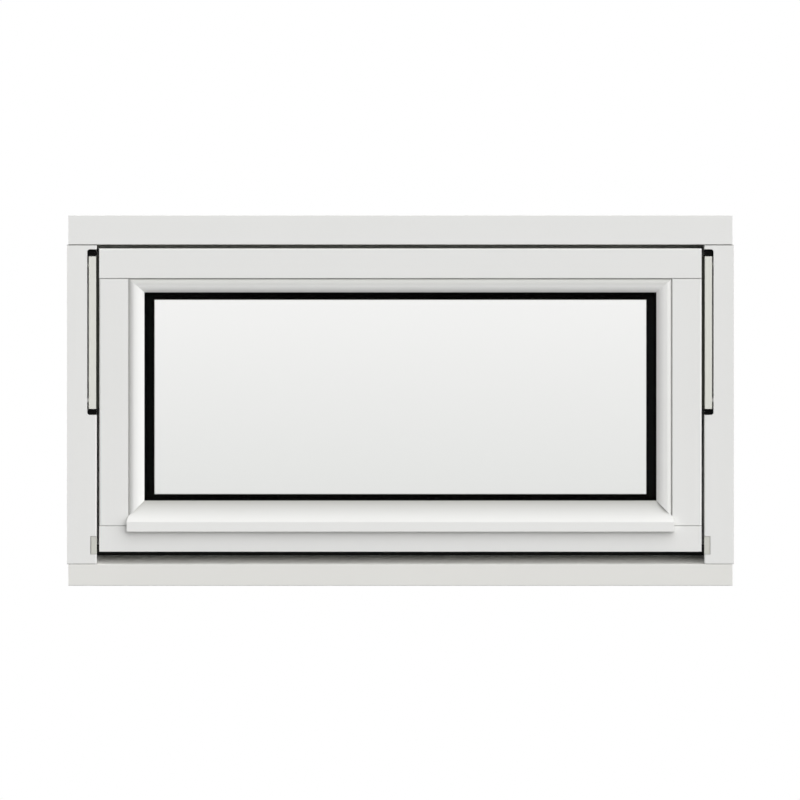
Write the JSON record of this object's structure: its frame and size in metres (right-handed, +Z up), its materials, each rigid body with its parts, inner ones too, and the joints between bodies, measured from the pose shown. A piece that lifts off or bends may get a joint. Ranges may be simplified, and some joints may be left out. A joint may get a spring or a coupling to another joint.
{
  "type": "pivot window",
  "caption": "White timber top-swing pivot window: moulded sash with sealed glazing and a drip bead, carried on sliding hinges let into the jambs of a box frame.",
  "frame": {"origin": "centre of the sill's underside, at mid width and mid depth", "axes": "+Z up, +X to the right seen from outside, -Y towards the outside"},
  "size_m": [0.99, 0.1255, 0.55],
  "materials": {
    "frame_paint": "factory-painted satin white",
    "sash_paint": "factory-painted satin white",
    "glass": "clear polished",
    "edge_seal": "matt black",
    "seal_rubber": "matt black",
    "hinge_paint": "pale satin coating",
    "hinge_steel": "zinc-plated",
    "black_plastic": "matt black",
    "guide_plastic": "pale grey moulded",
    "handle_paint": "white powder coat"
  },
  "bodies": {
    "root": {"sill": "frame_paint", "head": "frame_paint", "left_jamb": "frame_paint", "right_jamb": "frame_paint", "head_seal": "seal_rubber", "sill_seal": "seal_rubber", "left_seal": "seal_rubber", "right_seal": "seal_rubber", "sash_top_rail": "sash_paint", "sash_bottom_rail": "sash_paint", "left_sash_stile": "sash_paint", "right_sash_stile": "sash_paint", "top_bead": "sash_paint", "left_bead": "sash_paint", "right_bead": "sash_paint", "drip_bead": "sash_paint", "outer_pane": "glass", "inner_pane": "glass", "edge_spacer": "edge_seal", "glazing_tape": "seal_rubber", "handle_rosette": "handle_paint", "handle_lever": "handle_paint", "left_hinge_track": "hinge_steel", "left_hinge_rail": "hinge_paint", "left_hinge_arm": "hinge_steel", "left_hinge_shoe": "black_plastic", "left_hinge_packer": "black_plastic", "left_guide_block": "guide_plastic", "right_hinge_track": "hinge_steel", "right_hinge_rail": "hinge_paint", "right_hinge_arm": "hinge_steel", "right_hinge_shoe": "black_plastic", "right_hinge_packer": "black_plastic", "right_guide_block": "guide_plastic"}
  },
  "joints": []
}
